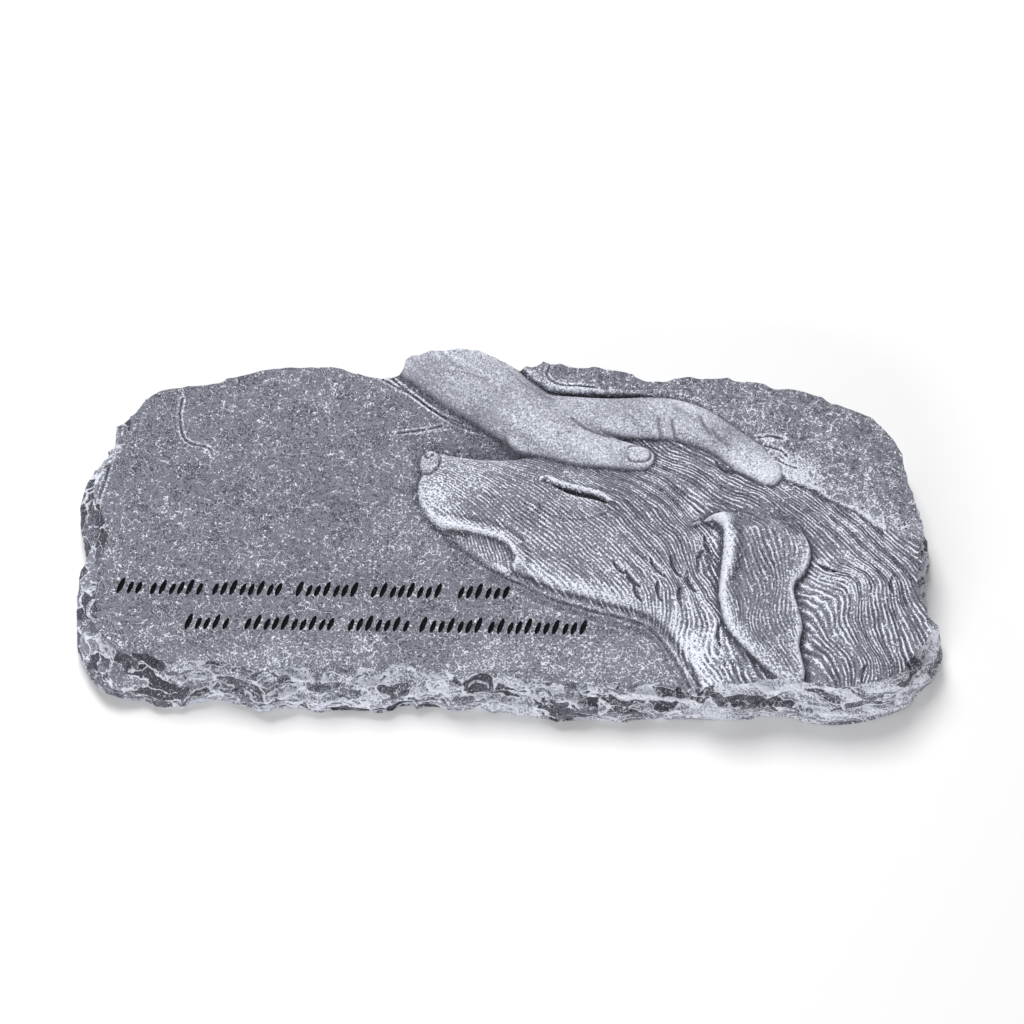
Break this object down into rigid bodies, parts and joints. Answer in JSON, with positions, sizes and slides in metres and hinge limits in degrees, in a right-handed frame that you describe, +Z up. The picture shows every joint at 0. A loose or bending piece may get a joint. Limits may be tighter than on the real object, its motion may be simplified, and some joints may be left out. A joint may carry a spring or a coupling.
{
  "type": "pet memorial stone",
  "caption": "Oblong cast memorial stone with broken edges that lies flat; a hand stroking a sleeping dog's head in low relief, and two rows of shallow strokes on the plain panel.",
  "frame": {"origin": "middle of the underside: the centre of the bounding box in X and Y, on the ground plane in Z", "axes": "+X along the stone's length, from the plain panel to the dog's neck; +Y across it, from the front edge to the edge where the wrist comes in; +Z up, out of the carved face"},
  "size_m": [0.285, 0.1284, 0.0272],
  "materials": {
    "cast_stone": "matte"
  },
  "bodies": {
    "root": {"memorial_stone": "cast_stone"}
  },
  "joints": []
}
